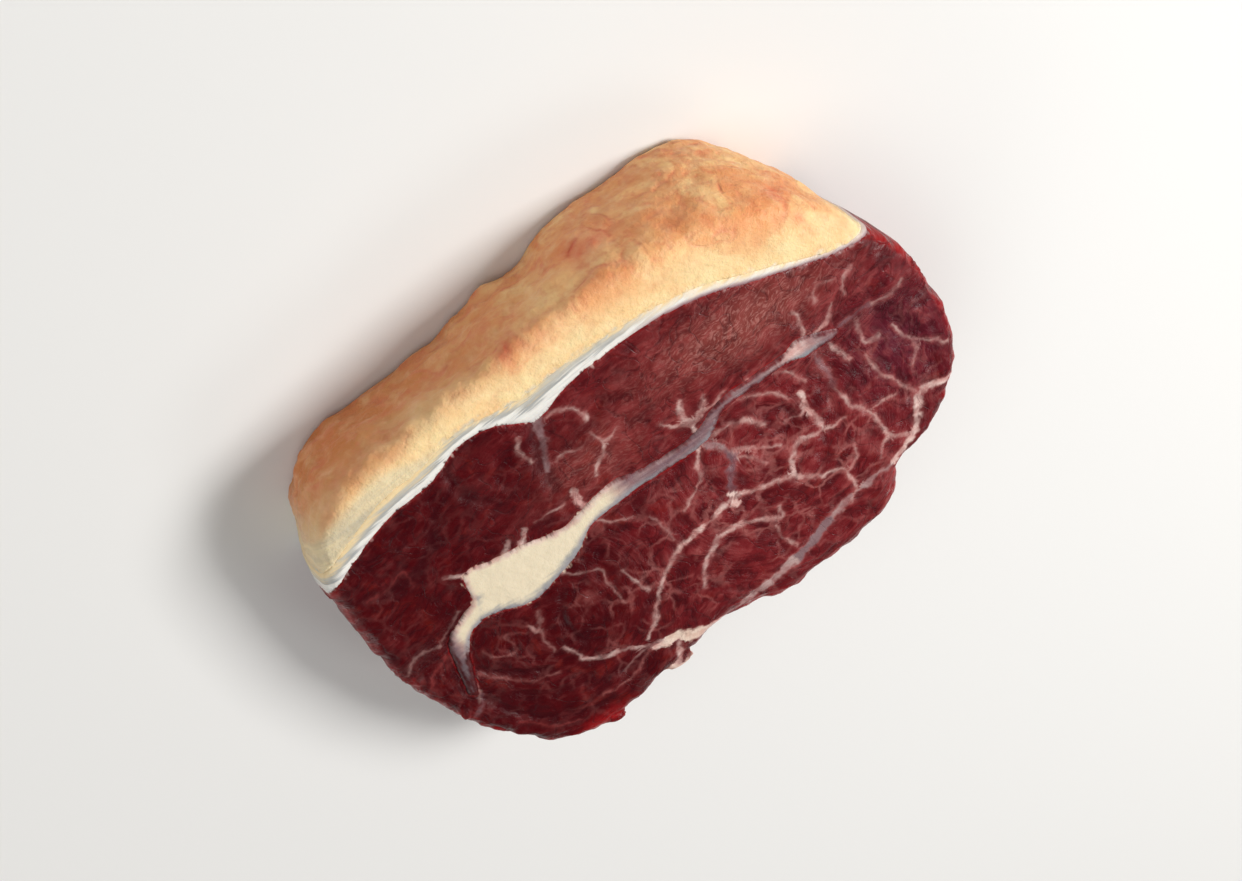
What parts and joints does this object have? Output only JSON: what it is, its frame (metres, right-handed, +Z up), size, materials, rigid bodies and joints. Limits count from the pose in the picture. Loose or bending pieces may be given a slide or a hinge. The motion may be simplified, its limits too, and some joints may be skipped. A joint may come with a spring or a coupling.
{
  "type": "raw featherblade steak",
  "caption": "Thick raw featherblade steak lying on its cut face, with marbled lean, a gristle seam, silverskin and a fat cap along one side.",
  "frame": {"origin": "on the underside, under the middle of the steak's box", "axes": "+X along the cut towards the blunt end, +Y from the fat cap towards the far edge, +Z up through the thickness"},
  "size_m": [0.1494, 0.1154, 0.0306],
  "materials": {
    "lean": "moist raw muscle with fine grain",
    "fat": "soft waxy cream fat, flushed orange outside",
    "silverskin": "wet silvery membrane",
    "gristle": "wet white gristle with soft cream fat"
  },
  "bodies": {
    "root": {"lean_meat": "lean", "fat_cap": "fat", "silverskin": "silverskin", "gristle_seam": "gristle"}
  },
  "joints": []
}
